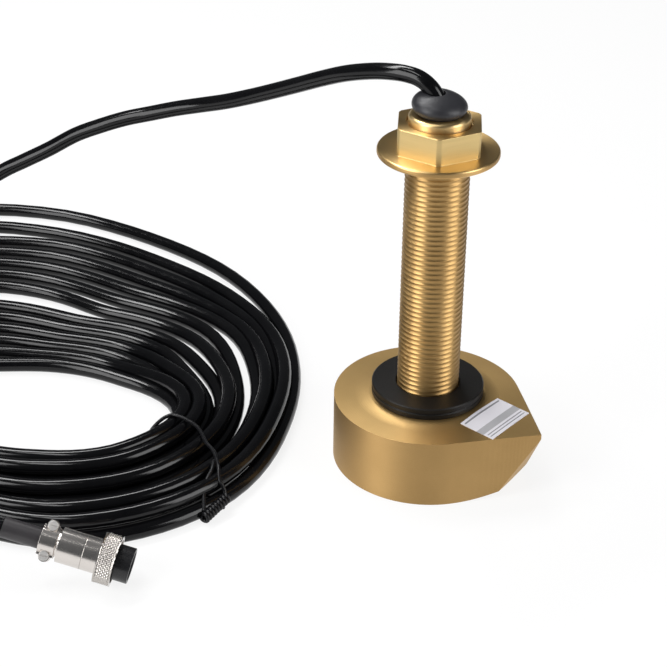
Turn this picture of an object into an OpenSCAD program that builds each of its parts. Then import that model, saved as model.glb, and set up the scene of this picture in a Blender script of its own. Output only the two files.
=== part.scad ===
// Through-hull sonar transducer: bronze housing with a pointed bow and a threaded stem,
// flanged hull nut, two sealing washers, rubber cable boot, coiled cable and round cable plug.
// Millimetres. Z runs up the stem, X points to the bow, the origin is on the bottom face.

/* [Housing] */
// Diameter of the round part of the housing
body_d = 73; // [66:1:90]
// Height of the outer rim of the housing
body_h = 27.5; // [24:0.5:36]
// Distance from the stem axis to the point of the bow
bow_reach = 50.5; // [47:0.5:62]
// Distance from the stem axis to the foot of the raked bow face
bow_foot = 38.3; // [37:0.1:46]
// Height of the upright edge left above the raked bow face
bow_edge = 2; // [1:0.5:5]
// Diameter of the washer seat on top of the housing
seat_d = 45; // [45:1:56]
// Rise of the washer seat above the outer rim
seat_rise = 1.3; // [0.8:0.1:3]
// Thickness of the housing wall round the cavity
wall = 5; // [3:0.5:7]
// Thickness of the housing roof above the cavity
roof = 6; // [4:0.5:9]

/* [Stem] */
// Outer diameter of the threaded stem
stem_d = 24; // [22:0.5:28]
// Height of the stem's open end above the bottom face
stem_top = 145.5; // [120:0.1:180]
// Diameter of the plain lead at the end of the stem
lead_d = 22.8; // [20:0.1:23]
// Length of the plain lead at the end of the stem
lead_l = 4; // [2:0.1:12]
// Diameter of the cable bore through the stem
stem_bore_d = 8; // [7:0.5:12]
// Diameter of the recess that holds the boot
mouth_d = 15; // [13:0.5:18]
// Depth of the recess that holds the boot
mouth_l = 6; // [4:0.5:10]

/* [Hull nut] */
// Distance across the flats of the nut
nut_af = 30; // [29:0.5:36]
// Diameter to which the six corners are turned down
nut_corner_d = 33.7; // [33:0.1:40]
// Height of the hexagon above the flange
nut_hex_h = 10.2; // [8:0.2:16]
// Diameter of the nut's flange
nut_flange_d = 45; // [40:1:54]
// Thickness of the nut's flange
nut_flange_t = 2.4; // [1.8:0.2:5]
// Depth of the flange's underside below the stem's open end
nut_drop = 15.7; // [14:0.1:80]
// Radial running clearance between nut and stem
nut_clear = 0.08; // [0.05:0.01:0.1]

/* [Washers] */
// Outer diameter of the sealing washers
washer_d = 43.6; // [38:0.2:45]
// Inner diameter of the sealing washers
washer_bore_d = 25.2; // [24.2:0.2:28.6]
// Thickness of one sealing washer
washer_t = 2.4; // [1.5:0.1:4]
// Bevel on the washer edges
washer_bevel = 0.4; // [0.1:0.1:0.7]

/* [Element] */
// Diameter of the ceramic element
element_d = 46; // [36:1:50]
// Thickness of the ceramic element
element_t = 9; // [6:0.5:10]
// Thickness of the acoustic window in the bottom face
window_t = 4; // [2:0.5:5]
// Thickness of the backing pad over the element
pad_t = 3; // [2:0.5:4]
// Diameter of one insulated lead
lead_wire_d = 1.6; // [1:0.1:2]

/* [Boot] */
// Largest diameter of the rubber boot
boot_d = 20.2; // [18:0.1:22]
// Height of the boot's widest circle above the stem's open end
boot_low = 3; // [2.6:0.1:3.4]
// Height of the boot's dome above its widest circle
boot_rise = 4.9; // [4.4:0.1:5.4]

/* [Cable] */
// Diameter of the cable
cable_d = 6.2; // [5.8:0.1:6.4]
// Widest radius of the coil's outer turn
coil_r = 196; // [180:2:210]
// Height of the cable coil
coil_h = 11.4; // [10:0.2:14]
// Thickness of the tie round the coil
tie_t = 1.4; // [1:0.1:2]
// Width of the tie round the coil
tie_w = 3; // [2:0.5:5]

/* [Plug] */
// Outer diameter of the plug's barrel
barrel_d = 12.8; // [12:0.1:13.4]
// Outer diameter of the knurled coupling ring
ring_d = 18.5; // [17.8:0.1:20]
// Length of the coupling ring
ring_l = 6.2; // [5.6:0.1:9]
// Thread diameter inside the coupling ring
ring_thread_d = 16; // [15:0.1:16.2]
// Running clearance of the coupling ring on the barrel
ring_clear = 0.08; // [0.05:0.01:0.1]
// Diameter of the insulating insert
insert_d = 13; // [12.4:0.1:13.6]
// Length of insert that stands out of the coupling ring
insert_out = 5.6; // [4:0.1:8]
// Diameter of the sleeve shrunk over the cable
sleeve_d = 7.6; // [7:0.1:8.4]
// Length of the sleeve behind the clamp
sleeve_l = 14; // [10:1:14]
// Length of the cable clamp
clamp_l = 6; // [5:0.5:8]
// Distance between the two clamp screws
clamp_pitch = 11; // [10.8:0.1:13]
// Shank diameter of the clamp screws
screw_d = 2; // [1.6:0.1:2.2]
// Number of contacts in the insert
contacts = 3; // [2:1:5]

/* [Hidden] */
$fn = 96;
fit = 0.05;
eps = 0.01;

// Housing sections worked out from the driving sizes
body_r = body_d / 2;
seat_z = body_h + seat_rise;
cove_start = (seat_d / 2 + body_r) / 2;
cove_z = body_h + seat_rise / 4;
cavity_r = body_r - wall;
cavity_h = body_h - roof;
turn_r = 1.2 * bow_reach;
top_fall = (cove_z - body_h) / (body_r - cove_start);
tip_z = body_h - (bow_reach - body_r) * top_fall;
tangent_a = acos(body_r / bow_reach);
relief_slope = 1.6;
rake_a = atan((bow_reach - bow_foot) / (tip_z - bow_edge));
stem_r = stem_d / 2;
lead_chamfer = 0.8;
thread_end = stem_top - lead_l;

// Washers and nut
gasket_z = seat_z;
washer_z = gasket_z + washer_t;
nut_z = stem_top - nut_drop;
rim_round = 0.5;

// Stack inside the cavity
element_z = window_t;
pad_z = element_z + element_t;
potting_z = pad_z + pad_t;
cable_end_z = potting_z + 2;
lead_x = 1.45;

cable_r = cable_d / 2;

// Lean of the boot's hole, and its play round the cable
boot_lean = 20;
boot_play = 0.8;

CORD_SIDES = 10;
CORD_REF = [1, 1, -1];

// Plan of the coil: shares of coil_r for its outer and inner turns, every 30 degrees from the bearing
coil_at = [-160, -81];
coil_bearing = 33;
COIL_OUT = [0.625, 0.70, 0.82, 0.94, 1.00, 0.91, 0.76, 0.56, 0.44, 0.385, 0.505, 0.59];
COIL_IN = [0.40, 0.29, 0.22, 0.19, 0.21, 0.29, 0.37, 0.31, 0.22, 0.17, 0.215, 0.33];
COIL_STEPS = 60;
join_bearing = 215;
tie_in_bearing = -12.5;
tie_out_bearing = -31;
tie_sink = 0.4;

// Free run of cable from the boot down into the coil: place in plan, and height as a share of stem_top
ROUTE = [[0, 0, 1], [0, 0, 1.003], [-0.7, 0, 1.025], [-2.6, -0.1, 1.0485], [-5.4, -0.4, 1.067],
         [-9, -0.6, 1.0785], [-13, -0.8, 1.082], [-18.5, -1, 1.0805], [-28, -0.5, 1.0675],
         [-40, 0.5, 1.041], [-52, 2.7, 1.004], [-65, 5, 0.96], [-78, 6.8, 0.917], [-90, 8, 0.879],
         [-102, 7.7, 0.8455], [-114, 7, 0.817], [-125, 5, 0.793], [-136, 2, 0.767], [-146, -2, 0.7445],
         [-156, -6.5, 0.7155], [-166, -10.5, 0.681], [-177, -15, 0.6295], [-187, -20, 0.587],
         [-196, -25.5, 0.548], [-210, -37, 0.4685], [-220, -52, 0.382], [-227, -70, 0.3005],
         [-229, -89, 0.2215], [-225, -105, 0.1445], [-215, -121, 0.079], [-201, -131, 0.0413]];
RUN = concat([for (p = ROUTE) [p[0], p[1], p[2] * stem_top]],
             [concat(coil_point(COIL_IN, join_bearing, 0), [cable_r + 2 * fit])]);
// End of the cable from the coil to the plug's sleeve: bearing, distance outside the outer turn, height
LEAD_OUT = [[190, -6, 11.6], [200, -8, 13.3], [220, -9, 14.6], [240, -6, 14.8], [254, 4, 15.6], [265, 14, 18],
            [275.5, 20, 20.2], [280.5, 19.6, 20.4]];
TAIL = [for (p = LEAD_OUT) concat(coil_point(COIL_OUT, p[0], p[1]), [p[2]])];

// Plug, laid along its own axis from the back of the clamp to the nose
plug_at = concat(coil_point(COIL_OUT, 291, 18), [15.8]);
plug_bearing = 25;
plug_dip = 14;
plug_roll = 50;
tail_neck_d = 9.6;
neck_l = 1;
tail_l = 9;
shell_l = 5.7;
shell_flange_d = 15.2;
shell_flange_t = 1.2;
insert_step = 0.3;
ring_lip_t = 1.6;
saddle_t = 1.5;
screw_head_d = 3.6;
screw_head_t = 1.4;
ear_t = 2.2;
contact_d = 2;
contact_pcd = 6.4;
neck_x = clamp_l;
tail_x = neck_x + neck_l;
shell_x = tail_x + tail_l;
ring_x = shell_x + shell_l;
flange_x = ring_x + ring_lip_t + ring_clear;
insert_x = flange_x + shell_flange_t;
nose_root_x = ring_x + ring_l;
nose_x = nose_root_x + insert_out;
barrel_wall = 1.5;
face_recess = 1;
face_rim = 1.2;
socket_l = 4;
spigot_l = insert_x - shell_x - 1;
saddle_seat_z = 0.4;

function unit(v) = v / norm(v);
function tangent(p, i) = unit(p[min(i + 1, len(p) - 1)] - p[max(i - 1, 0)]);
function ring_points(p, i, r) =
    let (t = tangent(p, i), a = unit(cross(t, CORD_REF)), b = cross(t, a))
    [for (k = [0:CORD_SIDES - 1])
        let (w = 360 * k / CORD_SIDES) p[i] + r * (cos(w) * a + sin(w) * b)];
function wrap(i, n) = (i % n + n) % n;
function smooth_ring(v, angle) =
    let (n = len(v), p = angle / 360 * n, i = floor(p), f = p - i,
         a = v[wrap(i - 1, n)], b = v[wrap(i, n)], c = v[wrap(i + 1, n)], d = v[wrap(i + 2, n)])
    b + 0.5 * f * (c - a + f * (2 * a - 5 * b + 4 * c - d + f * (3 * (b - c) + d - a)));
function coil_point(v, angle, grow) =
    coil_at + (coil_r * smooth_ring(v, angle) + grow)
        * [cos(angle + coil_bearing), sin(angle + coil_bearing)];
function coil_outline(v, grow) =
    [for (k = [0:COIL_STEPS - 1]) coil_point(v, 360 * k / COIL_STEPS, grow)];

// Tube swept along a list of points
module cord(p, r) {
    rings = len(p);
    skin = [for (i = [0:rings - 2]) for (k = [0:CORD_SIDES - 1])
        let (n = (k + 1) % CORD_SIDES)
        [i * CORD_SIDES + k, i * CORD_SIDES + n, (i + 1) * CORD_SIDES + n, (i + 1) * CORD_SIDES + k]];
    start = [for (k = [0:CORD_SIDES - 1]) CORD_SIDES - 1 - k];
    end = [for (k = [0:CORD_SIDES - 1]) (rings - 1) * CORD_SIDES + k];
    polyhedron(points = [for (i = [0:rings - 1]) each ring_points(p, i, r)],
               faces = concat([start], skin, [end]), convexity = 6);
}

// Ring with bevelled edges, standing on z = 0
module bevelled_washer(d, bore, t, bevel) {
    rotate_extrude()
        polygon([[bore / 2, 0], [d / 2 - bevel, 0], [d / 2, bevel], [d / 2, t - bevel],
                 [d / 2 - bevel, t], [bore / 2, t]]);
}

// Plan of the housing: a circle with two tangents that meet at the bow
module housing_plan() {
    circle(r = body_r);
    polygon([[0, 0], body_r * [cos(tangent_a), -sin(tangent_a)], [bow_reach, 0],
             body_r * [cos(tangent_a), sin(tangent_a)]]);
}

// Turned section of the housing: coned top, cove up to the washer seat, foot relieved to a circle
module turned_section() {
    cove = [for (k = [0:8])
        let (s = k / 8)
        [cove_start + (seat_d / 2 - cove_start) * s, cove_z + (seat_z - cove_z) * s * s]];
    polygon(concat([[0, 0], [body_r, 0], [turn_r, (turn_r - body_r) / relief_slope],
                    [turn_r, body_h - (turn_r - body_r) * top_fall]], cove, [[0, seat_z]]));
}

module housing() {
    color("#b08d4f")
        difference() {
            union() {
                difference() {
                    intersection() {
                        linear_extrude(height = seat_z + 1) housing_plan();
                        rotate_extrude() turned_section();
                    }
                    translate([bow_foot, -bow_reach, 0])
                        rotate([0, rake_a, 0])
                            translate([0, 0, -bow_reach])
                                cube([bow_reach, 2 * bow_reach, 3 * bow_reach]);
                }
                translate([0, 0, cavity_h])
                    cylinder(d = stem_d, h = thread_end - cavity_h);
                translate([0, 0, thread_end - eps])
                    cylinder(d = lead_d, h = lead_l - lead_chamfer + eps);
                translate([0, 0, stem_top - lead_chamfer])
                    cylinder(d1 = lead_d, d2 = lead_d - 2 * lead_chamfer, h = lead_chamfer);
            }
            translate([0, 0, -eps]) cylinder(r = cavity_r, h = cavity_h + eps);
            cylinder(d = stem_bore_d, h = stem_top);
            translate([0, 0, stem_top - mouth_l]) cylinder(d = mouth_d, h = mouth_l + eps);
        }
}

module acoustic_window() {
    color("#1c1c1e") cylinder(r = cavity_r - fit, h = window_t);
}

module ceramic_element() {
    color("#d8d2c4") translate([0, 0, element_z]) cylinder(d = element_d, h = element_t);
}

module isolation_ring() {
    color("#9b7a52")
        translate([0, 0, element_z])
            difference() {
                cylinder(r = cavity_r - fit, h = element_t);
                translate([0, 0, -eps]) cylinder(d = element_d + 2 * fit, h = element_t + 2 * eps);
            }
}

// Two holes for the leads, through anything between the element and the cable end
module lead_holes() {
    for (side = [-1, 1])
        translate([side * lead_x, 0, pad_z - eps])
            cylinder(d = lead_wire_d + 2 * fit, h = cable_end_z - pad_z + 2 * eps);
}

module backing_pad() {
    color("#9b7a52")
        difference() {
            translate([0, 0, pad_z]) cylinder(r = cavity_r - fit, h = pad_t);
            lead_holes();
        }
}

module potting() {
    color("#2a2a2c")
        difference() {
            translate([0, 0, potting_z]) cylinder(r = cavity_r - fit, h = cavity_h - potting_z);
            translate([0, 0, cable_end_z]) cylinder(d = cable_d + 2 * fit, h = cavity_h);
            lead_holes();
        }
}

module lead(side) {
    translate([side * lead_x, 0, pad_z]) cylinder(d = lead_wire_d, h = cable_end_z - pad_z);
}

module signal_lead() {
    color("#b03028") lead(1);
}

module ground_lead() {
    color("#2b2b2b") lead(-1);
}

module stem_cable() {
    color("#121213") translate([0, 0, cable_end_z]) cylinder(d = cable_d, h = stem_top - cable_end_z);
}

// Dome on a plug in the stem's mouth, with a hole that leans with the cable
module cable_boot() {
    color("#2c2c30")
        difference() {
            translate([0, 0, stem_top])
                rotate_extrude() {
                    translate([0, fit - mouth_l]) square([mouth_d / 2 - fit, mouth_l + eps]);
                    intersection() {
                        translate([0, boot_low]) scale([1, 2 * boot_rise / boot_d]) circle(d = boot_d);
                        translate([0, fit]) square([boot_d, boot_low + boot_rise]);
                    }
                }
            translate([0, 0, stem_top - mouth_l - eps])
                cylinder(d = cable_d + 2 * fit, h = mouth_l + 2 * eps);
            translate([0, 0, stem_top])
                rotate([0, -boot_lean, 0])
                    translate([0, 0, -boot_play])
                        cylinder(d = cable_d + 2 * boot_play, h = boot_low + 2 * boot_rise);
        }
}

module hull_gasket() {
    color("#161617")
        translate([0, 0, gasket_z])
            bevelled_washer(washer_d, washer_bore_d, washer_t, washer_bevel);
}

module hull_washer() {
    color("#1d1d1f")
        translate([0, 0, washer_z])
            bevelled_washer(washer_d, washer_bore_d, washer_t, washer_bevel);
}

module hull_nut() {
    color("#c09a52")
        difference() {
            union() {
                translate([0, 0, nut_z])
                    rotate_extrude()
                        polygon([[0, 0], [nut_flange_d / 2 - rim_round, 0], [nut_flange_d / 2, rim_round],
                                 [nut_flange_d / 2, nut_flange_t - rim_round],
                                 [nut_flange_d / 2 - rim_round, nut_flange_t], [0, nut_flange_t]]);
                intersection() {
                    translate([0, 0, nut_z])
                        cylinder(d = nut_af / cos(30), h = nut_flange_t + nut_hex_h, $fn = 6);
                    translate([0, 0, nut_z])
                        cylinder(d = nut_corner_d, h = nut_flange_t + nut_hex_h);
                }
            }
            translate([0, 0, nut_z - 1])
                cylinder(r = stem_r + nut_clear, h = nut_flange_t + nut_hex_h + 2);
        }
}

module cable_run() {
    color("#101011") cord(RUN, cable_r);
}

module cable_tail() {
    ahead = [cos(plug_dip) * cos(plug_bearing), cos(plug_dip) * sin(plug_bearing), -sin(plug_dip)];
    color("#101011")
        cord(concat(TAIL, [plug_at - sleeve_l * ahead, plug_at, plug_at + clamp_l * ahead]), cable_r);
}

// Band of the tie as a rectangular loop from the inner turn to the outer turn, grown by a clearance
module tie_loop(grow) {
    from = coil_point(COIL_IN, tie_in_bearing, -cable_r - fit);
    to = coil_point(COIL_OUT, tie_out_bearing, cable_r + fit);
    span = norm(to - from);
    high = coil_h - tie_sink + tie_t;
    translate([from[0], from[1], 0])
        rotate([0, 0, atan2(to[1] - from[1], to[0] - from[0])])
            difference() {
                translate([-tie_t - grow, -tie_w / 2 - grow, -grow])
                    cube([span + 2 * tie_t + 2 * grow, tie_w + 2 * grow, high + 2 * grow]);
                translate([grow, -tie_w, tie_t + grow])
                    cube([span - 2 * grow, 2 * tie_w, high - 2 * tie_t - 2 * grow]);
            }
}

module cable_coil() {
    color("#101011")
        difference() {
            linear_extrude(height = coil_h)
                difference() {
                    polygon(coil_outline(COIL_OUT, cable_r));
                    polygon(coil_outline(COIL_IN, -cable_r));
                }
            tie_loop(fit);
        }
}

module coil_tie() {
    color("#0c0c0d") tie_loop(0);
}

// Lays a plug piece along the plug's axis
module on_plug_axis() {
    translate(plug_at) rotate([plug_roll, plug_dip, plug_bearing]) children();
}

// Cylinder along the plug's axis
module along(x, d, l) {
    translate([x, 0, 0]) rotate([0, 90, 0]) cylinder(d = d, h = l);
}

module plug_sleeve() {
    color("#3a3a3d")
        on_plug_axis()
            difference() {
                along(-sleeve_l, sleeve_d, sleeve_l + clamp_l);
                along(-sleeve_l - eps, cable_d + 2 * fit, sleeve_l + clamp_l + 2 * eps);
            }
}

// Outline of the clamp seen from above: a strap with a round ear at each screw
module clamp_plan() {
    ear_r = screw_head_d / 2 + 0.3;
    translate([0, -clamp_pitch / 2]) square([clamp_l - fit, clamp_pitch]);
    for (side = [-1, 1])
        translate([clamp_l / 2, side * clamp_pitch / 2]) circle(r = ear_r);
}

module clamp_screw_holes() {
    for (side = [-1, 1])
        translate([clamp_l / 2, side * clamp_pitch / 2, -barrel_d])
            cylinder(d = screw_d + 2 * fit, h = 2 * barrel_d);
}

// Flat seats for the screw heads beside the arch of the saddle
module clamp_head_seats() {
    for (side = [-1, 1])
        translate([clamp_l / 2, side * clamp_pitch / 2, saddle_seat_z + ear_t])
            cylinder(d = screw_head_d + 4 * fit, h = barrel_d);
}

module plug_tail() {
    color("#b9babb")
        on_plug_axis()
            difference() {
                union() {
                    along(tail_x, barrel_d, tail_l);
                    along(neck_x - eps, tail_neck_d, neck_l + 2 * eps);
                    intersection() {
                        along(0, sleeve_d + 2 * saddle_t, clamp_l);
                        translate([0, -barrel_d, -barrel_d]) cube([clamp_l, 2 * barrel_d, barrel_d]);
                    }
                    translate([0, 0, -ear_t]) linear_extrude(height = ear_t) clamp_plan();
                }
                along(-1, sleeve_d + 2 * fit, clamp_l + 1);
                along(clamp_l - eps, cable_d + 2 * fit, tail_l + neck_l + 1);
                along(tail_x + barrel_wall, barrel_d - 2 * barrel_wall, tail_l);
                clamp_screw_holes();
            }
}

module clamp_saddle() {
    color("#c3c4c5")
        on_plug_axis()
            difference() {
                union() {
                    intersection() {
                        along(0, sleeve_d + 2 * saddle_t, clamp_l - fit);
                        translate([0, -barrel_d, saddle_seat_z]) cube([clamp_l, 2 * barrel_d, barrel_d]);
                    }
                    translate([0, 0, saddle_seat_z]) linear_extrude(height = ear_t) clamp_plan();
                }
                along(-1, sleeve_d + 2 * fit, clamp_l + 2);
                clamp_screw_holes();
                clamp_head_seats();
            }
}

module clamp_screws() {
    head_z = saddle_seat_z + ear_t;
    color("#a8a9ab")
        on_plug_axis()
            for (side = [-1, 1])
                translate([clamp_l / 2, side * clamp_pitch / 2, 0])
                    difference() {
                        union() {
                            translate([0, 0, -ear_t]) cylinder(d = screw_d, h = ear_t + head_z);
                            translate([0, 0, head_z]) cylinder(d = screw_head_d, h = screw_head_t);
                        }
                        translate([-screw_head_d, -0.3, head_z + screw_head_t / 2])
                            cube([2 * screw_head_d, 0.6, screw_head_t]);
                    }
}

module plug_shell() {
    color("#bfc0c1")
        on_plug_axis()
            difference() {
                union() {
                    along(shell_x, barrel_d, insert_x - shell_x);
                    along(flange_x, shell_flange_d, shell_flange_t);
                }
                along(shell_x - eps, barrel_d - 2 * barrel_wall, insert_x - shell_x + 2 * eps);
            }
}

module coupling_ring() {
    color("#c4c5c6")
        on_plug_axis()
            difference() {
                along(ring_x, ring_d, ring_l);
                along(ring_x - eps, barrel_d + 2 * ring_clear, ring_l);
                along(ring_x + ring_lip_t, ring_thread_d, ring_l);
            }
}

// Turns once for each contact round the plug's axis
module each_contact() {
    for (k = [0:contacts - 1])
        rotate([360 * k / contacts + 90, 0, 0]) translate([0, 0, contact_pcd / 2]) children();
}

module plug_insert() {
    color("#141415")
        on_plug_axis()
            difference() {
                union() {
                    along(nose_root_x, insert_d, insert_out);
                    along(insert_x, insert_d - 2 * insert_step, nose_root_x - insert_x + eps);
                    along(insert_x - spigot_l, barrel_d - 2 * barrel_wall - 2 * fit, spigot_l + eps);
                }
                each_contact() along(insert_x - spigot_l - eps, contact_d + 2 * fit, nose_x);
                along(nose_x - face_recess, insert_d - 2 * face_rim, face_recess + eps);
            }
}

module contact_sockets() {
    color("#c9a24a")
        on_plug_axis()
            each_contact() difference() {
                along(insert_x - spigot_l, contact_d, nose_x - face_recess - insert_x + spigot_l);
                along(nose_x - face_recess - socket_l, contact_d / 2, socket_l + eps);
            }
}

housing();
acoustic_window();
ceramic_element();
isolation_ring();
backing_pad();
potting();
signal_lead();
ground_lead();
stem_cable();
cable_boot();
hull_gasket();
hull_washer();
hull_nut();
cable_run();
cable_coil();
coil_tie();
cable_tail();
plug_sleeve();
plug_tail();
clamp_saddle();
clamp_screws();
plug_shell();
coupling_ring();
plug_insert();
contact_sockets();
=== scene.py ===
import math
import bmesh
import bpy
from mathutils import Matrix, Vector


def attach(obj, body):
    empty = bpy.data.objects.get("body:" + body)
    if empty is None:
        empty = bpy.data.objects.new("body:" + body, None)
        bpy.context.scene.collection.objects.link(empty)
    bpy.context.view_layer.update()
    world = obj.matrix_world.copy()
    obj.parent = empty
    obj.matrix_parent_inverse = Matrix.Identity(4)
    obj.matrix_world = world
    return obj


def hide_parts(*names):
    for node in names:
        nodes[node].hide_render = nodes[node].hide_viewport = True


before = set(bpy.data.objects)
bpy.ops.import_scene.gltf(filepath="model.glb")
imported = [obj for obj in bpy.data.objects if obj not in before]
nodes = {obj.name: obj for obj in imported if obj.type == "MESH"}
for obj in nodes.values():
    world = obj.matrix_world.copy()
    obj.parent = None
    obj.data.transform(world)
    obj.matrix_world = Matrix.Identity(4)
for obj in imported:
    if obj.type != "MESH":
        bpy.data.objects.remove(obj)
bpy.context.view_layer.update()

# Sizes are in millimetres until a point is handed to Blender
MM = 0.001


# Camera, fitted to the outlines of stem, nut, washers and housing

VIEW_TURN = math.radians(33.2)
CAMERA_AT = (0.2847, -0.5027, 0.387)
CAMERA_PITCH = 0.524
CAMERA_ROLL = 0.015
LENS_MM = 93.53
SENSOR_MM = 36


def photo_point(right, away, up):
    """Point in metres to the right of, beyond and above the stem's foot, as the photograph shows it."""
    c = math.cos(VIEW_TURN)
    s = math.sin(VIEW_TURN)
    return Vector((c * right - s * away, s * right + c * away, up))


def add_camera():
    data = bpy.data.cameras.new("camera")
    data.sensor_width = SENSOR_MM
    data.lens = LENS_MM
    data.clip_start = 0.01
    camera = bpy.data.objects.new("camera", data)
    tilt = Matrix.Rotation(math.pi / 2 - CAMERA_PITCH, 4, "X")
    turn = Matrix.Rotation(VIEW_TURN, 4, "Z") @ tilt @ Matrix.Rotation(CAMERA_ROLL, 4, "Z")
    camera.matrix_world = Matrix.Translation(CAMERA_AT) @ turn
    bpy.context.collection.objects.link(camera)
    bpy.context.scene.camera = camera


add_camera()


# Materials
# Grain, blotches and lathe rings are in waves per metre, and depths in millimetres

NOISE_DETAIL = 4.0
NOISE_LOW = 0.3
NOISE_HIGH = 0.7
TURNED_GRAIN = 2600
TURNED_GRAIN_DEPTH = 0.008
TURNED_BLOTCH = 45
LATHE_RINGS = 380
LATHE_RING_DEPTH = 0.010
LATHE_WANDER = 1.5
ACROSS_RINGS = 0.25


def material_nodes(name, metallic=0.0, specular=0.5, anisotropic=0.0):
    """New material with its constants set; returns it, its node tree and its shader."""
    material = bpy.data.materials.new(name)
    material.use_nodes = True
    tree = material.node_tree
    shader = tree.nodes["Principled BSDF"]
    shader.inputs["Metallic"].default_value = metallic
    shader.inputs["Specular IOR Level"].default_value = specular
    shader.inputs["Anisotropic"].default_value = anisotropic
    return material, tree, shader


def noise(tree, scale, stretch=(1, 1, 1)):
    """Noise over the object's own coordinates; returns its value socket."""
    place = tree.nodes.new("ShaderNodeTexCoord")
    mapping = tree.nodes.new("ShaderNodeMapping")
    mapping.inputs["Scale"].default_value = stretch
    texture = tree.nodes.new("ShaderNodeTexNoise")
    texture.inputs["Scale"].default_value = scale
    texture.inputs["Detail"].default_value = NOISE_DETAIL
    tree.links.new(place.outputs["Object"], mapping.inputs["Vector"])
    tree.links.new(mapping.outputs["Vector"], texture.inputs["Vector"])
    return texture.outputs["Fac"]


def lathe_rings(tree):
    """Fine rings round the stem's axis, as a lathe leaves them; returns the value socket."""
    place = tree.nodes.new("ShaderNodeTexCoord")
    wave = tree.nodes.new("ShaderNodeTexWave")
    wave.wave_type = "RINGS"
    wave.rings_direction = "Z"
    wave.inputs["Scale"].default_value = LATHE_RINGS
    wave.inputs["Distortion"].default_value = LATHE_WANDER
    wave.inputs["Detail"].default_value = 3.0
    wave.inputs["Detail Scale"].default_value = 2.0
    tree.links.new(place.outputs["Object"], wave.inputs["Vector"])
    return wave.outputs["Fac"]


def drive_colour(tree, value, low, high, socket):
    """Takes a colour socket from low to high over the middle of a noise value."""
    node = tree.nodes.new("ShaderNodeValToRGB")
    node.color_ramp.elements[0].position = NOISE_LOW
    node.color_ramp.elements[0].color = (*low, 1)
    node.color_ramp.elements[1].position = NOISE_HIGH
    node.color_ramp.elements[1].color = (*high, 1)
    tree.links.new(value, node.inputs["Fac"])
    tree.links.new(node.outputs["Color"], socket)


def drive_number(tree, value, low, high, socket):
    """Takes a number socket from low to high over the middle of a noise value."""
    node = tree.nodes.new("ShaderNodeMapRange")
    node.inputs["From Min"].default_value = NOISE_LOW
    node.inputs["From Max"].default_value = NOISE_HIGH
    node.inputs["To Min"].default_value = low
    node.inputs["To Max"].default_value = high
    tree.links.new(value, node.inputs["Value"])
    tree.links.new(node.outputs["Result"], socket)


def bump(tree, shader, heights):
    """Chains bumps, each a height socket with its depth, into the shader's normal."""
    last = None
    for height, depth in heights:
        node = tree.nodes.new("ShaderNodeBump")
        node.inputs["Strength"].default_value = 1.0
        node.inputs["Distance"].default_value = depth * MM
        tree.links.new(height, node.inputs["Height"])
        if last is not None:
            tree.links.new(last, node.inputs["Normal"])
        last = node.outputs["Normal"]
    tree.links.new(last, shader.inputs["Normal"])


def surface(name, low, high, rough_low, rough_high, grain=900, depth=0.02, stretch=(1, 1, 1), blotch=60,
            **constants):
    """Material of two colours in soft blotches, with a fine grain in its roughness and bump."""
    material, tree, shader = material_nodes(name, **constants)
    fine = noise(tree, grain, stretch)
    drive_colour(tree, noise(tree, blotch, stretch), low, high, shader.inputs["Base Color"])
    drive_number(tree, fine, rough_low, rough_high, shader.inputs["Roughness"])
    bump(tree, shader, [(fine, depth)])
    return material


def turned_bronze(name, low, high, rough_low, rough_high, anisotropic=0.65):
    """Satin bronze off the lathe: rings round the stem's axis that spread highlights across themselves."""
    material, tree, shader = material_nodes(name, metallic=1.0, anisotropic=anisotropic)
    fine = noise(tree, TURNED_GRAIN)
    drive_colour(tree, noise(tree, TURNED_BLOTCH), low, high, shader.inputs["Base Color"])
    drive_number(tree, fine, rough_low, rough_high, shader.inputs["Roughness"])
    tangent = tree.nodes.new("ShaderNodeTangent")
    tangent.direction_type = "RADIAL"
    tangent.axis = "Z"
    tree.links.new(tangent.outputs["Tangent"], shader.inputs["Tangent"])
    shader.inputs["Anisotropic Rotation"].default_value = ACROSS_RINGS
    bump(tree, shader, [(fine, TURNED_GRAIN_DEPTH), (lathe_rings(tree), LATHE_RING_DEPTH)])
    return material


BRONZE = turned_bronze("turned_bronze", (0.44, 0.28, 0.112), (0.50, 0.322, 0.133), 0.50, 0.58)
# The top's bronze is a lighter copy of the body's: painted light on the housing's upward faces.
TOP_BRONZE_PAINTED_LIGHT = turned_bronze("top_bronze_painted_light", (0.47, 0.315, 0.13), (0.54, 0.362, 0.153), 0.44, 0.52,
                           anisotropic=0.2)
# The lead's bronze is a paler copy of the body's: painted light on the stem's plain end above the thread.
LEAD_BRONZE_PAINTED_LIGHT = turned_bronze("lead_bronze_painted_light", (0.72, 0.52, 0.24), (0.80, 0.60, 0.30), 0.36, 0.44)
# The flange's bronze is a paler copy of the nut's: painted light on the flange and the nut's other faces.
FLANGE_BRONZE_PAINTED_LIGHT = turned_bronze("flange_bronze_painted_light", (0.66, 0.45, 0.19), (0.74, 0.51, 0.22), 0.34, 0.42)
THREAD_BRONZE = turned_bronze("thread_bronze", (0.46, 0.29, 0.115), (0.53, 0.345, 0.14), 0.42, 0.48,
                              anisotropic=0.85)
NUT_BRONZE = surface("nut_bronze", (0.57, 0.43, 0.195), (0.645, 0.49, 0.23), 0.46, 0.54,
                     grain=500, depth=0.006, stretch=(0.3, 0.3, 6), metallic=1.0)
CABLE_JACKET = surface("cable_jacket", (0.002, 0.002, 0.0025), (0.004, 0.004, 0.0045), 0.11, 0.17,
                       grain=300, depth=0.015, specular=0.30)
BOOT_RUBBER = surface("boot_rubber", (0.012, 0.012, 0.015), (0.020, 0.020, 0.024), 0.38, 0.50,
                      grain=1600, depth=0.012)
WASHER_RUBBER = surface("washer_rubber", (0.005, 0.0045, 0.004), (0.009, 0.008, 0.007), 0.36, 0.46,
                        grain=1500, depth=0.012, specular=0.25)
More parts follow.
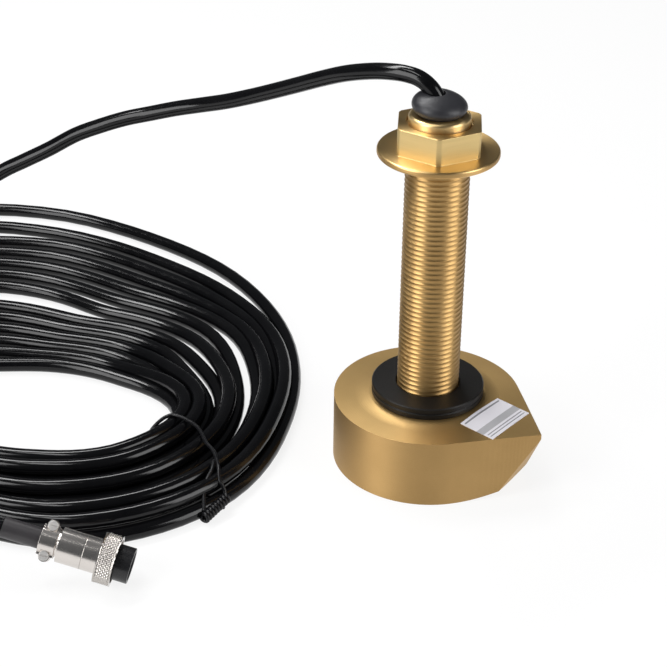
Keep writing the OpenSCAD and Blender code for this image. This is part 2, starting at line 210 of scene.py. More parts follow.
TIE_PLASTIC = surface("tie_plastic", (0.003, 0.003, 0.004), (0.006, 0.006, 0.007), 0.25, 0.38,
                      grain=1200, depth=0.01, specular=0.25)
SLEEVE = surface("sleeve", (0.018, 0.016, 0.018), (0.030, 0.027, 0.029), 0.36, 0.48,
                 grain=700, depth=0.03, stretch=(1, 3, 3))
NICKEL = surface("nickel", (0.66, 0.62, 0.585), (0.74, 0.70, 0.665), 0.22, 0.26,
                 grain=1600, depth=0.001, metallic=1.0)
# The ring's nickel is a darker copy of the plug's: painted shade on the knurl.
KNURLED_NICKEL_PAINTED_SHADE = surface("knurled_nickel_painted_shade", (0.50, 0.47, 0.44), (0.58, 0.55, 0.52), 0.12, 0.18,
                         grain=1600, depth=0.001, metallic=1.0)
SCREW_STEEL = surface("screw_steel", (0.70, 0.68, 0.66), (0.80, 0.78, 0.76), 0.40, 0.50,
                      grain=1500, depth=0.01, metallic=1.0)
INSERT_PLASTIC = surface("insert_plastic", (0.006, 0.006, 0.007), (0.010, 0.010, 0.011), 0.25, 0.35,
                         grain=1200, depth=0.01)
CONTACT_BRASS = surface("contact_brass", (0.66, 0.47, 0.16), (0.74, 0.55, 0.22), 0.2, 0.3, metallic=1.0)
URETHANE = surface("urethane", (0.010, 0.010, 0.012), (0.018, 0.018, 0.021), 0.35, 0.5,
                   grain=700, depth=0.03)
CERAMIC = surface("ceramic", (0.62, 0.58, 0.50), (0.70, 0.66, 0.58), 0.5, 0.65)
CORK = surface("cork", (0.20, 0.12, 0.06), (0.36, 0.24, 0.13), 0.8, 0.95,
               grain=500, depth=0.2, blotch=500)
LEAD_RED = surface("lead_red", (0.38, 0.03, 0.02), (0.46, 0.045, 0.03), 0.3, 0.4)
LEAD_BLACK = surface("lead_black", (0.015, 0.015, 0.015), (0.025, 0.025, 0.025), 0.3, 0.4)
LABEL_PAPER = surface("label_paper", (0.68, 0.67, 0.72), (0.73, 0.72, 0.77), 0.35, 0.5,
                      grain=1200, depth=0.01)
LABEL_BAND = surface("label_band", (0.36, 0.36, 0.38), (0.42, 0.42, 0.44), 0.35, 0.5,
                     grain=1200, depth=0.01)
LABEL_RULE = surface("label_rule", (0.20, 0.20, 0.22), (0.26, 0.26, 0.28), 0.35, 0.5,
                     grain=1200, depth=0.01)


# Building helpers

WORKED_ANGLE = math.radians(24)
SHARP_ANGLE = math.radians(40)
FLAT_ANGLE = math.radians(0.2)
JOIN_WITHIN = 0.002
FAR = 1000


def add_object(name, data, *materials):
    piece = bpy.data.objects.new(name, data)
    bpy.context.collection.objects.link(piece)
    for material in materials:
        piece.data.materials.append(material)
    return piece


def soft_edges(bm, width, low=-FAR, high=FAR):
    """Rounds the sharp edges that lie between two heights."""
    sharp = [e for e in bm.edges if len(e.link_faces) == 2 and e.calc_face_angle() > WORKED_ANGLE
             and all(low <= v.co.z / MM <= high for v in e.verts)]
    bmesh.ops.bevel(bm, geom=sharp, offset=width * MM, segments=2, profile=0.5, affect="EDGES",
                    clamp_overlap=True)


def node_bmesh(node):
    """A CAD node's mesh with its vertices joined and its flat faces whole."""
    bm = bmesh.new()
    bm.from_mesh(nodes[node].data)
    bmesh.ops.remove_doubles(bm, verts=bm.verts, dist=JOIN_WITHIN * MM)
    bmesh.ops.dissolve_limit(bm, angle_limit=FLAT_ANGLE, verts=bm.verts, edges=bm.edges)
    return bm


def finish_mesh(bm, name, *materials):
    """Object from a bmesh, smooth but for its sharp edges."""
    mesh = bpy.data.meshes.new(name)
    bm.to_mesh(mesh)
    bm.free()
    mesh.polygons.foreach_set("use_smooth", [True] * len(mesh.polygons))
    mesh.set_sharp_from_angle(angle=SHARP_ANGLE)
    piece = add_object(name, mesh, *materials)
    even = piece.modifiers.new("even_normals", "WEIGHTED_NORMAL")
    even.keep_sharp = True
    return piece


def build_soft_edged(name, node, width, *materials):
    """A CAD node with its sharp edges rounded."""
    bm = node_bmesh(node)
    soft_edges(bm, width)
    return finish_mesh(bm, name, *materials)


def stand_for(piece, body, slot, *replaced):
    """Lets a piece ride on a body, in place of CAD nodes, which it hides."""
    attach(piece, body)
    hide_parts(*replaced)


def add_skin(bm, rows, columns, place, material_index=0):
    """Tube of quads; place(row, column) gives a point in metres, and the columns close on themselves."""
    grid = [[bm.verts.new(place(i, j)) for j in range(columns)] for i in range(rows + 1)]
    for i in range(rows):
        for j in range(columns):
            n = (j + 1) % columns
            face = bm.faces.new((grid[i][j], grid[i][n], grid[i + 1][n], grid[i + 1][j]))
            face.material_index = material_index


# Cable: one line from the boot through the coil to the plug

CABLE_D = 6.2
CABLE_ROUNDNESS = 6
LINE_PARTS = 6
STEM_TOP = 145.5
COIL_AT = Vector((-160, -81))
COIL_BEARING = 33
COIL_R = 196
COIL_OUT = (0.625, 0.70, 0.82, 0.94, 1.00, 0.91, 0.76, 0.56, 0.44, 0.385, 0.505, 0.59)
COIL_IN = (0.40, 0.29, 0.22, 0.19, 0.21, 0.29, 0.37, 0.31, 0.22, 0.17, 0.215, 0.33)
JOIN_BEARING = 215
LEAVE_BEARING = 140
TURN_STEPS = 90
# A turn is counted from this bearing, and moves to the next lane over its last stretch
LANE_CHANGE = 200
CHANGE_AFTER = 280
CHANGE_OVER = 80
# At each bearing, the shares of the way from the inner turn to the outer one at the marked lanes
MARKED_LANES = (0, 4, 5, 6, 7, 8, 10, 11, 12)
LANE_MARKS = ((-25, (0, 0.29, 0.415, 0.485, 0.555, 0.68, 0.84, 0.92, 1)),
              (0, (0, 0.257, 0.386, 0.45, 0.514, 0.686, 0.843, 0.92, 1)),
              (11, (0, 0.279, 0.418, 0.487, 0.557, 0.723, 0.86, 0.93, 1)),
              (20, (0, 0.31, 0.43, 0.517, 0.604, 0.736, 0.868, 0.934, 1)),
              (31, (0, 0.35, 0.44, 0.54, 0.64, 0.76, 0.875, 0.93, 1)),
              (42, (0, 0.33, 0.415, 0.515, 0.615, 0.70, 0.825, 0.89, 0.985)),
              (50, (0, 0.30, 0.375, 0.47, 0.565, 0.65, 0.79, 0.862, 0.975)),
              (61, (0, 0.262, 0.33, 0.42, 0.51, 0.595, 0.757, 0.835, 0.967)),
              (67, (0, 0.247, 0.308, 0.40, 0.495, 0.58, 0.748, 0.828, 0.96)),
              (75, (0, 0.247, 0.309, 0.425, 0.508, 0.59, 0.755, 0.833, 0.96)),
              (85, (0, 0.26, 0.323, 0.446, 0.525, 0.605, 0.765, 0.845, 0.982)),
              (91, (0, 0.268, 0.334, 0.457, 0.54, 0.617, 0.775, 0.86, 1)),
              (97, (0, 0.272, 0.34, 0.467, 0.539, 0.611, 0.755, 0.87, 1)),
              (150, (0, 0.29, 0.415, 0.485, 0.555, 0.68, 0.84, 0.92, 1)),
              (335, (0, 0.29, 0.415, 0.485, 0.555, 0.68, 0.84, 0.92, 1)))
FIRST_MARK = LANE_MARKS[0][0]
LANE_SMOOTHING = (-6, -3, 0, 3, 6)
# Lanes marked 1 ride up on their neighbours where the turns crowd
RAISED = (0, 1, 0, 1, 0, 0, 1, 0, 0, 1, 0, 1, 0)
RAISED_LIFT = 5.4
SPREAD_BY = 45
CROWD_FROM = 165
CROWD_OVER = 50
# The run in the air: x, y, and height as a share of the stem end's height
ROUTE = ((0, 0, 1), (0, 0, 1.003), (-0.7, 0, 1.025), (-2.6, -0.1, 1.0485), (-5.4, -0.4, 1.067),
         (-9, -0.6, 1.0785), (-13, -0.8, 1.082), (-18.5, -1, 1.0805), (-28, -0.5, 1.0675),
         (-40, 0.5, 1.041), (-52, 2.7, 1.004), (-65, 5, 0.96), (-78, 6.8, 0.917), (-90, 8, 0.879),
         (-102, 7.7, 0.8455), (-114, 7, 0.817), (-125, 5, 0.793), (-136, 2, 0.767), (-146, -2, 0.7445),
         (-156, -6.5, 0.7155), (-166, -10.5, 0.681), (-177, -15, 0.6295), (-187, -20, 0.587),
         (-196, -25.5, 0.548), (-210, -37, 0.4685), (-220, -52, 0.382), (-227, -70, 0.3005),
         (-229, -89, 0.2215), (-225, -105, 0.1445), (-215, -121, 0.079), (-201, -131, 0.0413))
# The way out to the plug: bearing, distance outside the outer turn, and height
LEAD_OUT = ((150, 0, 3.1), (167, 0, 7), (183, -4, 10.2), (190, -6, 11.6), (200, -8, 13.3), (220, -9, 14.6),
            (240, -6, 14.8), (254, 4, 15.6), (265, 14, 18), (275.5, 20, 20.2), (280.5, 19.6, 20.4))


def curve_point(a, b, c, d, f):
    """Point a share f of the way from b to c on the smooth curve through a, b, c and d."""
    return b + 0.5 * f * (c - a + f * (2 * a - 5 * b + 4 * c - d + f * (3 * (b - c) + d - a)))


def smooth_ring(values, angle):
    """Value at an angle on a closed smooth curve through evenly spaced values."""
    n = len(values)
    p = angle / 360 * n
    i = math.floor(p)
    a, b, c, d = (values[(i + k) % n] for k in (-1, 0, 1, 2))
    return curve_point(a, b, c, d, p - i)


def smooth_line(points):
    """Points of a smooth curve through the given points, with each gap cut into parts."""
    line = []
    for i in range(len(points) - 1):
        before = points[max(i - 1, 0)]
        after = points[min(i + 2, len(points) - 1)]
        for k in range(LINE_PARTS):
            line.append(curve_point(before, points[i], points[i + 1], after, k / LINE_PARTS))
    line.append(points[-1].copy())
    return line


def inner_radius(angle):
    return COIL_R * smooth_ring(COIL_IN, angle)


def outer_radius(angle):
    return COIL_R * smooth_ring(COIL_OUT, angle)


def coil_polar(angle, radius, z):
    """Point at a bearing and a distance from the coil's middle."""
    w = math.radians(angle + COIL_BEARING)
    return Vector((COIL_AT.x + radius * math.cos(w), COIL_AT.y + radius * math.sin(w), z))


def outer_point(angle, grow, z):
    """Point at a distance outside the outer turn."""
    return coil_polar(angle, outer_radius(angle) + grow, z)


def share_point(angle, share, z):
    """Point a share of the way from the inner turn to the outer one."""
    inner = inner_radius(angle)
    return coil_polar(angle, inner + (outer_radius(angle) - inner) * share, z)


def ease(value):
    """Smooth step from 0 to 1."""
    f = min(1.0, max(0.0, value))
    return f * f * (3 - 2 * f)


def between(rows, value):
    """Straight interpolation in rows of a place and the numbers there."""
    for (low, first), (high, second) in zip(rows, rows[1:]):
        if value <= high:
            f = (value - low) / (high - low)
            return [a + f * (b - a) for a, b in zip(first, second)]
    return list(rows[-1][1])


def lane_share(lane, bearing):
    """Place of a lane between the inner and outer turns, averaged over a few degrees to either side."""
    shares = []
    for step in LANE_SMOOTHING:
        marks = between(LANE_MARKS, (bearing + step - FIRST_MARK) % 360 + FIRST_MARK)
        places = [(number, (share,)) for number, share in zip(MARKED_LANES, marks)]
        shares += between(places, lane)
    return sum(shares) / len(shares)


def crowding(bearing):
    """1 where the turns lie pressed together in two layers, 0 where they lie spread out."""
    bearing %= 360
    return max(1 - ease(bearing / SPREAD_BY), ease((bearing - CROWD_FROM) / CROWD_OVER))


def coil_points():
    """Turns from the inner lane to the outer one; some lanes ride up where the turns crowd."""
    points = []
    last = len(RAISED) - 1
    end = 360 * (last + 1) + LEAVE_BEARING
    steps = round((end - JOIN_BEARING) / 360 * TURN_STEPS)
    for k in range(steps + 1):
        angle = JOIN_BEARING + (end - JOIN_BEARING) * k / steps
        lane = math.floor((angle - LANE_CHANGE) / 360)
        following = min(lane + 1, last)
        change = ease(((angle - LANE_CHANGE) % 360 - CHANGE_AFTER) / CHANGE_OVER)
        share = lane_share(lane, angle)
        share += change * (lane_share(following, angle) - share)
        raised = RAISED[lane] + change * (RAISED[following] - RAISED[lane])
        z = CABLE_D / 2 + RAISED_LIFT * crowding(angle) * raised
        points.append(share_point(angle, share, z))
    return points


def tube_curve(name, lines, diameter, material, roundness):
    """Round cords along lines of points, in one object."""
    data = bpy.data.curves.new(name, "CURVE")
    data.dimensions = "3D"
    data.bevel_depth = diameter / 2 * MM
    data.bevel_resolution = roundness
    data.use_fill_caps = True
    for points in lines:
        spline = data.splines.new("POLY")
        spline.points.add(len(points) - 1)
        for knot, point in zip(spline.points, points):
            knot.co = (*(point * MM), 1)
        spline.use_smooth = True
    return add_object(name, data, material)


PLUG_TURN = math.radians(25)
PLUG_DIP = math.radians(14)
PLUG_ROLL = math.radians(50)
PLUG_BEARING = 291
PLUG_OUT = 18
PLUG_Z = 15.8
PLUG_AT = outer_point(PLUG_BEARING, PLUG_OUT, PLUG_Z)
PLUG_FACING = Matrix.Rotation(PLUG_TURN, 4, "Z") @ Matrix.Rotation(PLUG_DIP, 4, "Y")
PLUG_FACING = PLUG_FACING @ Matrix.Rotation(PLUG_ROLL, 4, "X")
PLUG_AHEAD = PLUG_FACING @ Vector((1, 0, 0))
SLEEVE_L = 14
CLAMP_L = 6

run = [Vector((x, y, share * STEM_TOP)) for x, y, share in ROUTE]
coil = coil_points()
tail = [outer_point(*row) for row in LEAD_OUT]
tail += [PLUG_AT + step * PLUG_AHEAD for step in (-SLEEVE_L, 0, CLAMP_L)]
line = smooth_line(run + [coil[0]]) + coil[1:-1] + smooth_line([coil[-1]] + tail)
cable = tube_curve("cable", (line,), CABLE_D, CABLE_JACKET, CABLE_ROUNDNESS)
stand_for(cable, "transducer", "cable_jacket", "cable_run", "cable_coil", "cable_tail")


# Tie round the coil, knotted on the outer side
# Each point is a bearing, a share of the way from the inner turn to the outer one, and a height

TIE_D = 1.5
TIE_ROUNDNESS = 3
TIE_LOOP = ((-31, 1.05, 3.5), (-30, 1.02, 7), (-29.5, 0.96, 10.5), (-27, 0.87, 12.4), (-23, 0.72, 12.7),
            (-20.5, 0.59, 12.7), (-15.5, 0.40, 12.7), (-12.5, 0.23, 12.6), (-10.5, 0.07, 12.3),
            (-11.5, 0, 11.5), (-13.5, -0.04, 9.5), (-15, -0.07, 6.5), (-16, -0.09, 3.5), (-17, 0, 0.9),
            (-22, 0.35, 0.8), (-28, 0.75, 0.8), (-31, 1, 0.9), (-32, 1.08, 2.5))
TIE_DOUBLED = ((-26, 0.80, 12.6), (-28.5, 0.86, 12.1), (-31.5, 0.91, 10.6), (-34, 0.98, 8),
               (-36, 1.06, 4.5))
KNOT_FROM = (-30.5, 1.06, 5.2)
KNOT_TO = (-37, 1.10, 2.8)
KNOT_R = 1.5
KNOT_TURNS = 9
KNOT_STEPS = 12


def knot_points():
    """Wraps of the tie's end round itself."""
    start = share_point(*KNOT_FROM)
    along = share_point(*KNOT_TO) - start
    side = along.cross(Vector((0, 0, 1))).normalized()
    up = side.cross(along).normalized()
    steps = KNOT_TURNS * KNOT_STEPS
    points = []
    for k in range(steps + 1):
        w = 2 * math.pi * k / KNOT_STEPS
        out = KNOT_R * (math.cos(w) * side + math.sin(w) * up)
        points.append(start + along * k / steps + out)
    return points


def build_tie():
    loop = smooth_line([share_point(*row) for row in TIE_LOOP])
    doubled = smooth_line([share_point(*row) for row in TIE_DOUBLED])
    return tube_curve("tie", (loop, doubled, knot_points()), TIE_D, TIE_PLASTIC, TIE_ROUNDNESS)


tie = build_tie()
stand_for(tie, "transducer", "tie", "coil_tie")


# Housing with its thread cut

STEM_R = 12
THREAD_PITCH = 2
THREAD_DEPTH = 0.4
THREAD_FROM = 28.8
THREAD_TO = 141.5
THREAD_STEPS = 10
THREAD_SIDES = 96
# Half the groove's width as a share of the pitch, and how round its bottom is
GROOVE_HALF = 0.46
GROOVE_ROUND = 0.8
BODY_EDGE = 0.3
BODY_EDGE_FROM = 0.5
BODY_EDGE_TO = 28.5
STEM_EDGE = 0.35
STEM_EDGE_BELOW = 2
ON_STEM = 0.02
SLACK = 0.1
# A face looks upward when its normal rises more than this
UPWARD = 0.5
HOUSING_MATERIALS = (BRONZE, THREAD_BRONZE, LEAD_BRONZE_PAINTED_LIGHT, TOP_BRONZE_PAINTED_LIGHT)


def groove_depth(phase):
    """Depth over one pitch: narrow crests and a round-bottomed groove."""
    across = abs(phase - 0.5) / GROOVE_HALF
    return THREAD_DEPTH * max(0.0, 1 - across * across) ** GROOVE_ROUND


def is_plain_stem(face):
    """Whether a face lies on the stem where the thread is cut."""
    return all(abs(math.hypot(v.co.x, v.co.y) - STEM_R * MM) < ON_STEM * MM
               and THREAD_FROM - SLACK < v.co.z / MM < THREAD_TO + SLACK for v in face.verts)


def build_housing():
    bm = node_bmesh("housing")
    bmesh.ops.delete(bm, geom=[f for f in bm.faces if is_plain_stem(f)], context="FACES")
    soft_edges(bm, BODY_EDGE, BODY_EDGE_FROM, BODY_EDGE_TO)
    soft_edges(bm, STEM_EDGE, STEM_TOP - STEM_EDGE_BELOW, STEM_TOP + SLACK)
    for face in bm.faces:
        # Faces above the thread take the lead's paler bronze: painted light.
        if face.calc_center_median().z > THREAD_TO * MM:
            face.material_index = HOUSING_MATERIALS.index(LEAD_BRONZE_PAINTED_LIGHT)
        # Upward faces take the top's lighter bronze: painted light.
        elif face.normal.z > UPWARD:
            face.material_index = HOUSING_MATERIALS.index(TOP_BRONZE_PAINTED_LIGHT)
    rows = round((THREAD_TO - THREAD_FROM) / THREAD_PITCH * THREAD_STEPS)

    def place(i, j):
        z = THREAD_FROM + (THREAD_TO - THREAD_FROM) * i / rows
        turn = j / THREAD_SIDES
        runout = min(1.0, (rows - i) / THREAD_STEPS, i / THREAD_STEPS)
        r = STEM_R - runout * groove_depth((z / THREAD_PITCH - turn) % 1)
        w = 2 * math.pi * turn
        return Vector((r * math.cos(w), r * math.sin(w), z)) * MM

    add_skin(bm, rows, THREAD_SIDES, place, HOUSING_MATERIALS.index(THREAD_BRONZE))
    return finish_mesh(bm, "threaded_housing", *HOUSING_MATERIALS)


stand_for(build_housing(), "transducer", "bronze", "housing")


# Boot, whose dome closes round the leaning cable

BOOT_R = 10.1
BOOT_LOW = 3
BOOT_RISE = 4.9
BOOT_LIP_R = 3.5
BOOT_PLUG_R = 7.45
BOOT_PLUG_L = 6
BOOT_STEPS = 20
BOOT_SIDES = 64
BOOT_LEAN = 0.04
# The lip's round: distance outside the lip's radius, and depth below the dome's end
DOME_TO_LIP = 0.5
LIP_ROUND = ((0.1, 0.1), (0, 0.5), (0, 3))


def boot_profile():
    """Radius and height above the stem's end, from the foot of the plug round the dome to the lip."""
    low = math.asin(-BOOT_LOW / BOOT_RISE)
    high = math.acos((BOOT_LIP_R + DOME_TO_LIP) / BOOT_R)
    dome = []
    for k in range(BOOT_STEPS + 1):
        w = low + (high - low) * k / BOOT_STEPS
        dome.append((BOOT_R * math.cos(w), BOOT_LOW + BOOT_RISE * math.sin(w)))
    top = dome[-1][1]
    lip = [(BOOT_LIP_R + out, top - down) for out, down in LIP_ROUND]
    foot = [(BOOT_LIP_R, -BOOT_PLUG_L), (BOOT_PLUG_R, -BOOT_PLUG_L), (BOOT_PLUG_R, 0)]
    return foot + dome + lip + foot[:1]


def build_boot():
    bm = bmesh.new()
    profile = boot_profile()

    def place(i, j):
        r, z = profile[i]
        w = 2 * math.pi * j / BOOT_SIDES
        lean = BOOT_LEAN * max(0.0, z) ** 2
        return Vector((r * math.cos(w) - lean, r * math.sin(w), STEM_TOP + z)) * MM

    add_skin(bm, len(profile) - 1, BOOT_SIDES, place)
    bmesh.ops.remove_doubles(bm, verts=bm.verts, dist=JOIN_WITHIN * MM)
    bmesh.ops.recalc_face_normals(bm, faces=bm.faces)
    return finish_mesh(bm, "boot", BOOT_RUBBER)


stand_for(build_boot(), "transducer", "boot_rubber", "cable_boot")


# Nut with worked edges, in one bronze on its six sides, a paler copy on its flange and other faces as
# painted light, and the body's darker bronze on the flange's rim as painted shade

NUT_EDGE = 0.25
HEX_FROM = 132.3
HEX_R = 17
# Upright faces nearer the axis than BORE_REACH are the bore's, and those beyond SHADED_RIM_REACH the flange's rim
BORE_REACH = 13
SHADED_RIM_REACH = 20
# The nut's flange takes a paler copy of its bronze as painted light, and the flange's rim the body's
# darker bronze as painted shade.
NUT_MATERIALS = (FLANGE_BRONZE_PAINTED_LIGHT, NUT_BRONZE, BRONZE)


def build_nut():
    nut = build_soft_edged("flanged_nut", "hull_nut", NUT_EDGE, *NUT_MATERIALS)
    for face in nut.data.polygons:
        reach = math.hypot(face.center.x, face.center.y) / MM
        upright = abs(face.normal.z) < UPWARD
        # The flange's rim takes the body's darker bronze: painted shade.
        if upright and reach > SHADED_RIM_REACH:
            face.material_index = NUT_MATERIALS.index(BRONZE)
        elif upright and BORE_REACH < reach < HEX_R and face.center.z / MM > HEX_FROM:
            face.material_index = NUT_MATERIALS.index(NUT_BRONZE)
    return nut


stand_for(build_nut(), "nut", "nut_bronze", "hull_nut")


# Plug: worked edges on its metal and a diamond knurl on its ring, in a darker copy of the nickel as
# painted shade

RING_R = 9.25
RING_FROM = 21.7
RING_L = 6.2
RING_SKIN = 0.05
KNURL_DEPTH = 0.6
KNURL_ROUND = 40
KNURL_PITCH = 1.5
KNURL_STEPS = 8
KNURL_RIM = 0.3
KNURL_FADE = 0.3
SHELL_EDGE = 0.3
FRONT_EDGE = 0.2
SCREW_EDGE = 0.15
PLUG_MATRIX = Matrix.Translation(PLUG_AT * MM) @ PLUG_FACING


def ridge(value):
    """Triangle wave from 0 in a groove to 1 on a ridge."""
    return 2 * abs(value - math.floor(value) - 0.5)


def build_ring():
    bm = node_bmesh("coupling_ring")
    to_plug = PLUG_MATRIX.inverted()
    outside = []
    for face in bm.faces:
        local = [to_plug @ v.co for v in face.verts]
        if all(math.hypot(p.y, p.z) > (RING_R - RING_SKIN) * MM for p in local):
            outside.append(face)
    bmesh.ops.delete(bm, geom=outside, context="FACES")
    rows = round(RING_L / KNURL_PITCH * KNURL_STEPS)
    columns = KNURL_ROUND * KNURL_STEPS

    def place(i, j):
        x = RING_L * i / rows
        turn = j / columns
        climb = x / KNURL_PITCH
        diamond = min(ridge(climb + KNURL_ROUND * turn), ridge(climb - KNURL_ROUND * turn))
        rim = min(1.0, max(0.0, (min(x, RING_L - x) - KNURL_RIM) / KNURL_FADE))
        r = RING_R - rim * KNURL_DEPTH * (1 - diamond)
        w = 2 * math.pi * turn
        return PLUG_MATRIX @ (Vector((RING_FROM + x, r * math.cos(w), r * math.sin(w))) * MM)

    add_skin(bm, rows, columns, place)
    return finish_mesh(bm, "knurled_ring", KNURLED_NICKEL_PAINTED_SHADE)


knurled_ring = build_ring()
stand_for(knurled_ring, "ring", "nickel", "coupling_ring")
rear_shell = build_soft_edged("rear_shell", "plug_tail", SHELL_EDGE, NICKEL)
stand_for(rear_shell, "transducer", "nickel", "plug_tail")
front_shell = build_soft_edged("front_shell", "plug_shell", FRONT_EDGE, NICKEL)
stand_for(front_shell, "transducer", "nickel", "plug_shell")
saddle = build_soft_edged("saddle", "clamp_saddle", SHELL_EDGE, NICKEL)
stand_for(saddle, "transducer", "nickel", "clamp_saddle")
screws = build_soft_edged("screws", "clamp_screws", SCREW_EDGE, SCREW_STEEL)
stand_for(screws, "transducer", "screw_steel", "clamp_screws")
insert = build_soft_edged("insert", "plug_insert", SHELL_EDGE, INSERT_PLASTIC)
stand_for(insert, "transducer", "insert_plastic", "plug_insert")


# Blank label on the housing's top

BODY_R = 36.5
BODY_H = 27.5
SEAT_R = 22.5
SEAT_Z = 28.8
COVE_R = (SEAT_R + BODY_R) / 2
COVE_Z = BODY_H + (SEAT_Z - BODY_H) / 4
LABEL_AT = Vector((31.0, -1.2))
LABEL_ALONG = Vector((0.107, 0.994))
LABEL_W = 15
LABEL_L = 24.4
LABEL_COLUMNS = 24
LABEL_CUTS = 16
LABEL_LIFT = 0.03
LABEL_THICK = 0.12
LABEL_MATERIALS = (LABEL_PAPER, LABEL_BAND, LABEL_RULE)
PAPER = 0
BAND = 1
RULE = 2
# Shares of the label's width at which paper, the grey band or a thin rule begins
LABEL_ROWS = ((0.0, PAPER), (0.07, RULE), (0.12, PAPER), (0.50, BAND), (0.72, PAPER), (0.79, RULE),
              (0.82, PAPER), (0.88, RULE), (0.91, PAPER), (1.0, PAPER))


def top_height(radius):
    """Height of the housing's turned top at a distance from the axis."""
    if radius < COVE_R:
        s = (COVE_R - radius) / (COVE_R - SEAT_R)
        return COVE_Z + (SEAT_Z - COVE_Z) * s * s
    return COVE_Z - (radius - COVE_R) * (COVE_Z - BODY_H) / (BODY_R - COVE_R)


def label_cuts():
    """Shares of the label's width at which its rows of faces begin, each with what is on the row."""
    cuts = []
    for (start, kind), (end, _) in zip(LABEL_ROWS, LABEL_ROWS[1:]):
        parts = max(1, round((end - start) * LABEL_CUTS))
        cuts += [(start + (end - start) * k / parts, kind) for k in range(parts)]
    return cuts + [LABEL_ROWS[-1]]


def build_label():
    bm = bmesh.new()
    across = Vector((LABEL_ALONG.y, -LABEL_ALONG.x))
    cuts = label_cuts()
    grid = []
    for share, _ in cuts:
        start = LABEL_AT + (share - 0.5) * LABEL_W * across
        row = []
        for j in range(LABEL_COLUMNS + 1):
            p = start + (j / LABEL_COLUMNS - 0.5) * LABEL_L * LABEL_ALONG
            row.append(bm.verts.new(Vector((p.x, p.y, top_height(p.length) + LABEL_LIFT)) * MM))
        grid.append(row)
    for i in range(len(cuts) - 1):
        kind = cuts[i][1]
        for j in range(LABEL_COLUMNS):
            face = bm.faces.new((grid[i][j], grid[i + 1][j], grid[i + 1][j + 1], grid[i][j + 1]))
            if kind == BAND or 1 <= j < LABEL_COLUMNS - 1:
                face.material_index = kind
    mesh = bpy.data.meshes.new("label")
    bm.to_mesh(mesh)
    bm.free()
    piece = add_object("label", mesh, *LABEL_MATERIALS)
    thick = piece.modifiers.new("thickness", "SOLIDIFY")
    thick.thickness = LABEL_THICK * MM
    thick.offset = 1
    return piece


label = build_label()
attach(label, "transducer")


# CAD nodes that keep their own shape

NODE_MATERIALS = {
    "acoustic_window": URETHANE,
    "ceramic_element": CERAMIC,
    "isolation_ring": CORK,
    "backing_pad": CORK,
    "potting": URETHANE,
    "signal_lead": LEAD_RED,
    "ground_lead": LEAD_BLACK,
    "stem_cable": CABLE_JACKET,
    "hull_gasket": WASHER_RUBBER,
    "hull_washer": WASHER_RUBBER,
    "plug_sleeve": SLEEVE,
    "contact_sockets": CONTACT_BRASS,
}
for name, material in NODE_MATERIALS.items():
    for slot in nodes[name].material_slots:
        slot.material = material


# Floor, world and lamps, in metres

FLOOR_REACH = 4
FLOOR_COLOUR = (0.88, 0.88, 0.88, 1)
FLOOR_WHITE = 0.85
WORLD_COLOUR = (0.9, 0.95, 1, 1)
WORLD_STRENGTH = 0.08
TARGET = photo_point(-0.05, 0, 0.06)


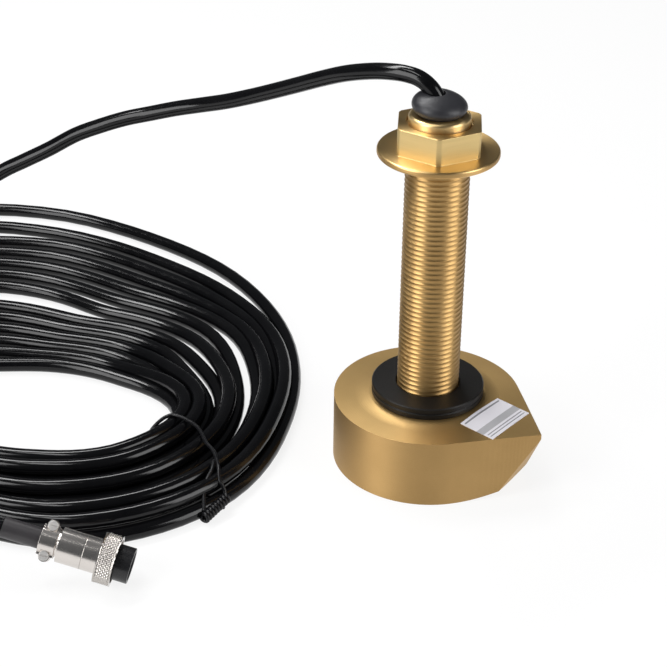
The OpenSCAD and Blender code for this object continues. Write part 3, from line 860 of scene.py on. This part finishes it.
def white_for_eye(tree, lit, white_share):
    """Mixes a lit shader with plain white for rays from the camera, mirrors and glass; returns the mix."""
    path = tree.nodes.new("ShaderNodeLightPath")
    seen = tree.nodes.new("ShaderNodeMath")
    seen.operation = "MAXIMUM"
    passed = tree.nodes.new("ShaderNodeMath")
    passed.operation = "MAXIMUM"
    share = tree.nodes.new("ShaderNodeMath")
    share.operation = "MULTIPLY"
    share.inputs[1].default_value = white_share
    white = tree.nodes.new("ShaderNodeEmission")
    white.inputs["Color"].default_value = (1, 1, 1, 1)
    mix = tree.nodes.new("ShaderNodeMixShader")
    tree.links.new(path.outputs["Is Camera Ray"], seen.inputs[0])
    tree.links.new(path.outputs["Is Glossy Ray"], seen.inputs[1])
    tree.links.new(seen.outputs[0], passed.inputs[0])
    tree.links.new(path.outputs["Is Transmission Ray"], passed.inputs[1])
    tree.links.new(passed.outputs[0], share.inputs[0])
    tree.links.new(share.outputs[0], mix.inputs["Fac"])
    tree.links.new(lit, mix.inputs[1])
    tree.links.new(white.outputs[0], mix.inputs[2])
    return mix.outputs[0]


def add_floor():
    mesh = bpy.data.meshes.new("floor")
    corners = [(-FLOOR_REACH, -FLOOR_REACH, 0), (FLOOR_REACH, -FLOOR_REACH, 0),
               (FLOOR_REACH, FLOOR_REACH, 0), (-FLOOR_REACH, FLOOR_REACH, 0)]
    mesh.from_pydata(corners, [], [(0, 1, 2, 3)])
    material = bpy.data.materials.new("floor")
    material.use_nodes = True
    tree = material.node_tree
    tree.nodes.remove(tree.nodes["Principled BSDF"])
    plain = tree.nodes.new("ShaderNodeBsdfDiffuse")
    plain.inputs["Color"].default_value = FLOOR_COLOUR
    output = tree.nodes["Material Output"]
    tree.links.new(white_for_eye(tree, plain.outputs[0], FLOOR_WHITE), output.inputs["Surface"])
    add_object("floor", mesh, material)


def add_world():
    world = bpy.data.worlds.new("studio")
    world.use_nodes = True
    background = world.node_tree.nodes["Background"]
    background.inputs["Color"].default_value = WORLD_COLOUR
    background.inputs["Strength"].default_value = WORLD_STRENGTH
    bpy.context.scene.world = world


def add_softbox(name, place, width, height, radiance):
    """Rectangular lamp that faces the target; its strength is given as the brightness of its face."""
    data = bpy.data.lights.new(name, "AREA")
    data.shape = "RECTANGLE"
    data.size = width
    data.size_y = height
    data.energy = radiance * math.pi * width * height
    lamp = bpy.data.objects.new(name, data)
    lamp.location = place
    lamp.rotation_euler = (TARGET - place).to_track_quat("-Z", "Y").to_euler()
    bpy.context.collection.objects.link(lamp)


add_floor()
add_world()
add_softbox("left_softbox", photo_point(-0.85, -0.52, 0.5), width=0.55, height=0.9, radiance=6)
add_softbox("right_softbox", photo_point(0.90, -0.42, 0.5), width=0.55, height=0.9, radiance=5)
add_softbox("top_softbox", photo_point(-0.45, 0.45, 1.0), width=1.0, height=0.2, radiance=16)
add_softbox("overhead_softbox", photo_point(-0.3, -0.12, 1.0), width=0.45, height=0.12, radiance=9)

bpy.context.scene.view_settings.view_transform = "Standard"
